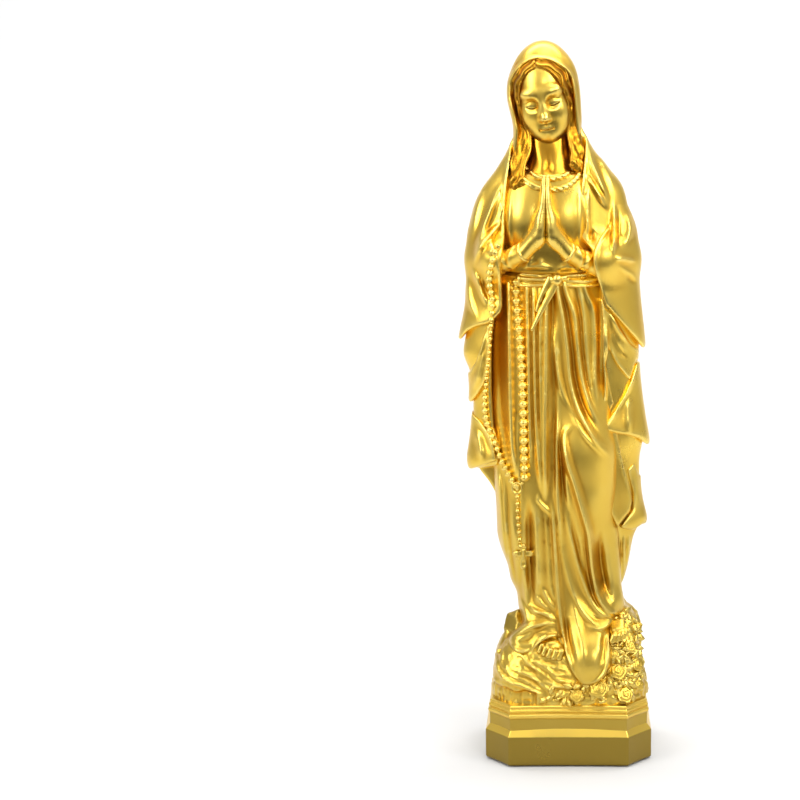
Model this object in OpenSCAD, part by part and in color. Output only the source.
// Standing praying figure with veil, mantle, rosary and rocky octagonal plinth.
// Front faces -Y, +Z is up, origin at the centre of the resting face.

/* [Statue] */
// Overall height, resting face to crown of the veil
statue_h = 300; // [150:10:450]
// Thickness of the felt pad under the plinth
pad_t = 0.6; // [0.5:0.1:2]
// How far the mantle's front folds stand off the mantle
fold_t = 2.2; // [1.5:0.1:3]

/* [Plinth] */
// Width of the lowest block
plinth_w = 70; // [66:1:80]
// Depth of the lowest block
plinth_d = 62; // [60:1:70]
// Corner cut, measured along the width
corner_x = 10; // [8:0.5:13]
// Corner cut, measured along the depth
corner_y = 12; // [9:0.5:14]
// Height of the lowest block
block_h = 14.5; // [12:0.5:16]

/* [Rosary] */
// Diameter of the large beads on the robe
bead_d = 3.2; // [2.6:0.1:3.6]
// Diameter of the small beads on the sleeve
small_bead_d = 2.6; // [2:0.1:3]
// Diameter of the beads on the hanging drop
drop_bead_d = 1.9; // [1.4:0.1:2.2]

/* [Hidden] */

k = statue_h / 300;       // every table below is for a 300 mm statue
ring_n = 40;              // points round a draped section
moulding_z = 21.5;        // top of the moulding's upright face
ledge_z = 24;             // foot of the rock face
ledge_top = 34;           // where the rock face ends and the ground begins
mound_top = 47;           // ground under the figure
waist_z = 199;            // lower edge of the sash
neck_z = 247;             // neckline
head_c = [-10, -1, 277];  // centre of the head
head_tilt = [12, -5, -6]; // bowed, leaning and turned a little
gold = [0.83, 0.62, 0.2];
felt = [0.12, 0.1, 0.08];

// Rows are [z, left x, right x, front y, back y] of one horizontal section.
robe = [
    [mound_top, -24, 24, -19, 16], [58, -20, 24, -17.5, 14.5],
    [72, -22, 22, -16.5, 13.5], [92, -28, 22, -17, 13], [118, -30, 20, -18, 13],
    [150, -30, 18, -18, 12], [180, -28, 15, -16.5, 11], [waist_z, -25, 12.5, -15, 10],
    [208, -24, 11, -14.5, 10], [218, -25.5, 10, -15.5, 10], [232, -26, 9, -15.5, 10],
    [241, -24, 7, -13.5, 9], [neck_z, -18, 2, -10, 7]
];
mantle = [
    [78, -24, 24, -8, 17], [100, -31, 28, -10, 19], [125, -37, 29, -12, 20],
    [150, -39, 30, -14, 20], [180, -41.5, 30, -16.5, 20], [200, -41.5, 29, -17.5, 20],
    [215, -39.5, 26.5, -17.5, 19.5], [230, -38, 25, -15.5, 18], [243, -33, 19.5, -12.5, 16.5],
    [252, -26, 12, -8, 15]
];
hood = [
    [250, -24, 8, -8, 14.5], [262, -22.5, 7, -8, 13.5], [275, -25, 5.5, -9, 13.5],
    [284, -25.5, 4, -9.5, 13], [291, -22.5, 2, -8.5, 11.5], [296, -19, -1.5, -5, 8.5],
    [299, -15, -5, -1, 5], [300, -12, -8, 0.5, 3]
];
ground = [
    [ledge_top, -32.5, 33, -27.5, 28], [39, -31, 32.5, -25, 27],
    [43, -29, 31.5, -22, 25.5], [mound_top, -26.5, 29.5, -18, 23]
];

function bent(t, p) = sign(t) * pow(abs(t), p);
function outline(r, grow, folds, depth) = [
    for (i = [0:ring_n - 1])
        let (a = 360 * i / ring_n, c = bent(cos(a), 0.86), s = bent(sin(a), 0.86),
             g = grow + depth * cos(folds * a + r[0] * 0.4))
            [(r[1] + r[2]) / 2 + ((r[2] - r[1]) / 2 + g) * c,
             (s < 0 ? g - r[3] : r[4] + g) * s, r[0]]
];
// A point on a table's front at height z and sideways place x, pushed out by off.
function at(t, z, j) = lookup(z, [for (r = t) [r[0], r[j]]]);
function front_y(t, x, z, off) =
    let (l = at(t, z, 1), r = at(t, z, 2), u = (2 * x - l - r) / (r - l))
        at(t, z, 3) * pow(max(0, 1 - pow(abs(u), 2.33)), 0.43) - off;

module loft(rings) {
    n = len(rings[0]);
    top = len(rings) - 1;
    sides = [
        for (j = [0:top - 1], i = [0:n - 1])
            let (a = j * n + i, b = j * n + (i + 1) % n)
                each [[a, a + n, b + n], [a, b + n, b]]
    ];
    caps = [[for (i = [0:n - 1]) i], [for (i = [n - 1:-1:0]) top * n + i]];
    polyhedron([for (r = rings) each r], concat(sides, caps));
}
module draped(table, grow = 0, folds = 0, depth = 0) {
    loft([for (r = table) outline(r, grow, folds, depth)]);
}
// Evaluates its children as a single closed surface.
module one_surface() {
    resize([0, 0, 0]) children();
}
// A flat outline seen from the front, run through the depth from y0 to y1.
module from_front(points, y0 = -45, y1 = 8) {
    translate([0, y1, 0]) rotate([90, 0, 0]) linear_extrude(y1 - y0) polygon(points);
}
module octagon(w, d, cx, cy) {
    polygon([
        [-w / 2 + cx, -d / 2], [w / 2 - cx, -d / 2], [w / 2, -d / 2 + cy], [w / 2, d / 2 - cy],
        [w / 2 - cx, d / 2], [-w / 2 + cx, d / 2], [-w / 2, d / 2 - cy], [-w / 2, -d / 2 + cy]
    ]);
}
module tier(z0, z1, inset) {
    translate([0, 0, z0]) linear_extrude(z1 - z0)
        octagon(plinth_w - 2 * inset, plinth_d - 2 * inset, corner_x - inset * 0.6, corner_y - inset * 0.6);
}
module beads(path, d, pitch, table, off) {
    for (j = [0:len(path) - 2])
        let (p = path[j], q = path[j + 1], n = max(1, floor(norm(q - p) / pitch)))
            for (i = [0:n - 1])
                let (m = p + (q - p) * i / n)
                    translate([m[0], front_y(table, m[0], m[1], off), m[1]]) sphere(d = d, $fn = 24);
}
module limb(a, b, ra, rb) {
    hull() {
        translate(a) sphere(ra, $fn = 16);
        translate(b) sphere(rb, $fn = 16);
    }
}
module on_head() {
    translate(head_c) rotate(head_tilt) children();
}

module base_pad() {
    color(felt) linear_extrude(pad_t) octagon(plinth_w - 10, plinth_d - 10, corner_x - 2.5, corner_y - 2.5);
}
module plinth_block() {
    color(gold) tier(pad_t, block_h, 0);
}
module plinth_moulding() {
    color(gold) union() {
        tier(block_h, block_h + 2, 0.6);
        tier(block_h + 2, moulding_z, 1.2);
    }
}
module plinth_ledge() {
    color(gold) union() {
        tier(moulding_z, ledge_z, 1.8);
        tier(ledge_z, ledge_top, 2.4);
    }
}
module rock_mound() {
    color(gold) draped(ground, 0, 9, 0.6);
}
module rock_outcrop() {
    color(gold) one_surface() difference() {
        hull() {
            translate([-25, 6, mound_top]) cylinder(r = 7, h = 5, $fn = 9);
            translate([-22, 8, mound_top]) cylinder(r = 7, h = 13, $fn = 7);
        }
        draped(robe, 0.1);
    }
}
module rose(p, r, turn) {
    translate(p) rotate([68, 0, turn]) scale(r) rotate_extrude($fn = 24)
        polygon([[0, -0.5], [0.7, -0.35], [1, 0.1], [0.92, 0.3], [0.74, 0.15], [0.66, 0.45], [0.5, 0.3],
            [0.4, 0.6], [0.2, 0.42], [0, 0.55]]);
}
module rose_blossoms() {
    color(gold) union() {
        rose([13, -27.5, 33.5], 4.3, 0);
        rose([20.5, -25.5, 35.5], 3.8, 20);
        rose([27.2, -19.5, 37.5], 4.1, 45);
        rose([28.5, -13, 45], 3.6, 60);
        rose([21, -22.5, 43.2], 3.6, 25);
        rose([28.5, -6.5, 53], 3.2, 70);
    }
}
module rose_leaves() {
    color(gold) one_surface() union()
        for (i = [0:9])
            let (a = -86 + i * 8.6)
                translate([31.5 * cos(a) + 1, 26 * sin(a) - 1.5, 37 + 5 * sin(i * 110)])
                    rotate([i * 40, -30, a]) scale([1.3, 0.7, 0.4]) sphere(2.9, $fn = 8);
}
module foot(at, turn) {
    translate(at) rotate(turn) {
        hull() {
            translate([0, 5, 3]) sphere(3.4, $fn = 16);
            translate([0, -2, 0.8]) scale([1.4, 1, 0.6]) sphere(3.2, $fn = 16);
        }
        for (i = [-2:2])
            translate([i * 1.75, -5 + abs(i + 0.6) * 0.5, 0.2]) sphere(1.25 - i * 0.08, $fn = 12);
    }
}
module foot_right() {
    color(gold) one_surface() difference() {
        foot([-8, -17.5, mound_top + 0.5], 4);
        draped(robe, 0.1);
        draped(ground, 0.1, 9, 0.6);
    }
}
module foot_left() {
    color(gold) one_surface() difference() {
        foot([23, -15, mound_top + 3], 14);
        draped(robe, 0.1);
        draped(ground, 0.1, 9, 0.6);
    }
}
module robe_skirt() {
    color(gold) draped([for (r = robe) if (r[0] <= waist_z) r], 0, 11, 0.8);
}
module robe_hem() {
    color(gold) one_surface() difference() {
        from_front([[-3, 60], [-2, 48], [2, 40], [5, 35], [10, 36], [15, 40], [17, 48], [17, 54], [22, 59],
            [22, 60]], -27, 0);
        draped(robe, 0.9);
        draped(ground, 0.1, 9, 0.6);
    }
}
module robe_bodice() {
    color(gold) draped([for (r = robe) if (r[0] > waist_z + 7) r], -0.2);
}
module sash_band() {
    color(gold) one_surface() intersection() {
        draped(robe, 0.8);
        translate([0, 0, waist_z + 3.75]) cube([80, 60, 6.5], center = true);
    }
}
module sash_tails() {
    color(gold) one_surface() difference() {
        from_front([[-6, 205], [-4, 201], [-9, 192], [-13, 180], [-15.5, 168], [-17, 171], [-14, 186],
            [-12.5, 199], [-11, 203]], -30, 0);
        draped([for (r = robe) [r[0], r[1], r[2], r[3] - 0.9, r[4]]]);
        difference() {
            from_front([[-60, 150], [60, 150], [60, 220], [-60, 220]], -60, 30);
            draped(robe, 2.6);
        }
    }
}
module neckline_trim() {
    color(gold) for (i = [0:1])
        translate([-8, -1.5, neck_z - 0.6 - i * 2.4]) rotate([22, 0, 0])
            rotate_extrude($fn = 48) translate([12.2 + i * 1.6, 0]) circle(d = 2, $fn = 16);
}
module neck() {
    color(gold) translate([-8.5, -0.5, neck_z]) cylinder(r1 = 8.4, r2 = 6.2, h = 16, $fn = 48);
}
module head() {
    color(gold) one_surface() difference() {
        on_head() union() {
            scale([0.8, 0.86, 1]) translate([0, 0, 3]) sphere(13, $fn = 24);
            hull() {
                translate([0, -2, -4]) scale([1, 1, 1.1]) sphere(8.5, $fn = 24);
                translate([0, -5.5, -13.5]) scale([1.2, 1, 0.8]) sphere(3.2, $fn = 16);
            }
            hull() {
                translate([0, -11.2, 2]) sphere(0.8, $fn = 10);
                translate([0, -12.4, -5]) sphere(1.3, $fn = 10);
            }
        }
        translate([-8.5, -0.5, neck_z]) cylinder(r1 = 8.5, r2 = 6.3, h = 16.1, $fn = 24);
    }
}
module hair(side) {
    one_surface() difference() {
        on_head() for (i = [0:2])
            let (y = -6.5 + i * 2.4)
                limb([side * (8.6 + i * 1.1), y, 6], [side * (11.5 - i), y + 2.5, -33], 2.2, 2.4);
        on_head() translate([0, 0, 3]) scale([0.8, 0.86, 1]) sphere(13.1, $fn = 24);
        translate([-8.5, -0.5, neck_z]) cylinder(r1 = 8.5, r2 = 6.3, h = 16.1, $fn = 24);
        draped(robe, 0.1);
    }
}
module hair_right() {
    color(gold) hair(-1);
}
module hair_left() {
    color(gold) hair(1);
}
module veil() {
    color(gold) one_surface() difference() {
        intersection() {
            draped(hood);
            translate([0, 0, 276]) cube([100, 80, 48.2], center = true);
        }
        translate([-10, -2, 277]) scale([0.98, 0.9, 1.35]) sphere(13.6, $fn = 28);
        from_front([[-22, 251], [-23.5, 274], [-21.5, 284], [-13, 292.5], [0, 288], [4, 276],
            [5.5, 251]], -40, 0);
        translate([-9, -1, 250]) scale([1, 0.8, 1]) cylinder(r = 14.5, h = 30, $fn = 28);
    }
}
module mantle_back() {
    color(gold) one_surface() difference() {
        draped(mantle, 0, 10, 0.7);
        draped(robe, 0.3);
        from_front([[-23, 260], [-26, 240], [-26, 214], [-28, 200], [-30, 150], [-26, 70], [25, 70],
            [17, 140], [15, 190], [9, 214], [6, 240], [5, 260]], -60, 2);
    }
}
module front_fold(points) {
    one_surface() difference() {
        intersection() {
            draped(mantle, fold_t);
            from_front(points);
        }
        draped(mantle, 0.75);
        draped(robe, 0.3);
    }
}
module mantle_right_arm() {
    color(gold) front_fold([[-60, 250], [-29, 250], [-26, 238], [-26, 216], [-28, 208], [-27, 190],
        [-31, 186], [-45, 179], [-60, 179]]);
}
module mantle_right_fold() {
    color(gold) front_fold([[-60, 178], [-44, 178], [-33, 184], [-32, 170], [-36, 158], [-41, 153],
        [-60, 153]]);
}
module mantle_right_tail() {
    color(gold) front_fold([[-60, 152], [-40, 151], [-33, 139], [-29, 128], [-42, 123], [-60, 123]]);
}
module mantle_left_arm() {
    color(gold) front_fold([[60, 250], [13, 250], [9, 240], [17, 232], [17, 227], [11, 220], [9.5, 213],
        [12, 202], [15, 193], [31, 175], [60, 175]]);
}
module mantle_left_fold() {
    color(gold) front_fold([[60, 174], [31, 174], [16, 190], [17, 172], [26, 161], [14, 141], [33, 136],
        [60, 136]]);
}
module mantle_left_tail() {
    color(gold) front_fold([[60, 135], [32, 135], [20, 139], [26, 112], [21, 99], [30, 99], [60, 99]]);
}
module sleeve_right() {
    color(gold) limb([-28, -14, 210], [-18, -21.5, 214], 5.6, 4.4);
}
module sleeve_left() {
    color(gold) limb([10, -14, 210], [0.5, -21.5, 213], 5.6, 4.4);
}
module hand(side) {
    mid = -9.2;
    union() {
        limb([mid + side * 6, -22.3, 216.8], [mid + side * 3, -22.5, 222], 3, 2.6);
        for (i = [0:3])
            let (root = [mid + side * (2.6 - i * 0.15), -24 + i * 1.9, 224])
                limb(root, [mid + side * 1.25, -22.6 + i * 1.3, 243 - abs(i - 1)], 1.5, 1.1);
        limb([mid + side * 3.6, -24.3, 220], [mid + side * 1.5, -25, 231], 1.5, 1.1);
    }
}
module hand_right() {
    color(gold) one_surface() difference() {
        hand(-1);
        sleeve_right();
    }
}
module hand_left() {
    color(gold) one_surface() difference() {
        hand(1);
        sleeve_left();
    }
}
robe_strand = [[-21.6, 198], [-20.8, 180], [-19.8, 160], [-18.6, 140], [-18, 120]];
sleeve_strand = [[-29, 218], [-32, 207], [-33, 200], [-31.5, 190], [-31.8, 180], [-33.6, 165], [-35, 153],
    [-33, 140], [-29, 128], [-24, 119]];
drop_strand = [[-21.2, 111], [-21, 101], [-20.2, 91]];
module rosary_robe_beads() {
    color(gold) beads(robe_strand, bead_d, 3.4, robe, 1.4);
}
module rosary_sleeve_beads() {
    color(gold) beads(sleeve_strand, small_bead_d, 2.8, mantle, fold_t + 1);
}
module rosary_medal() {
    color(gold) translate([-20.6, front_y(robe, -20.6, 115, 1.2), 115]) rotate([90, 0, 0])
        cylinder(d = 4.6, h = 1.8, center = true, $fn = 32);
}
module rosary_drop_beads() {
    color(gold) beads(drop_strand, drop_bead_d, 2.9, robe, 1);
}
module rosary_cross() {
    color(gold) translate([-18.8, front_y(robe, -18.8, 86, 1.2), 86]) union() {
        cube([1.8, 1.6, 9], center = true);
        translate([0, 0, 1.4]) cube([7.4, 1.6, 1.8], center = true);
    }
}

scale(k) {
    base_pad();
    plinth_block();
    plinth_moulding();
    plinth_ledge();
    rock_mound();
    rock_outcrop();
    rose_blossoms();
    rose_leaves();
    foot_right();
    foot_left();
    robe_skirt();
    robe_hem();
    robe_bodice();
    sash_band();
    sash_tails();
    neckline_trim();
    neck();
    head();
    hair_right();
    hair_left();
    veil();
    mantle_back();
    mantle_right_arm();
    mantle_right_fold();
    mantle_right_tail();
    mantle_left_arm();
    mantle_left_fold();
    mantle_left_tail();
    sleeve_right();
    sleeve_left();
    hand_right();
    hand_left();
    rosary_robe_beads();
    rosary_sleeve_beads();
    rosary_medal();
    rosary_drop_beads();
    rosary_cross();
}
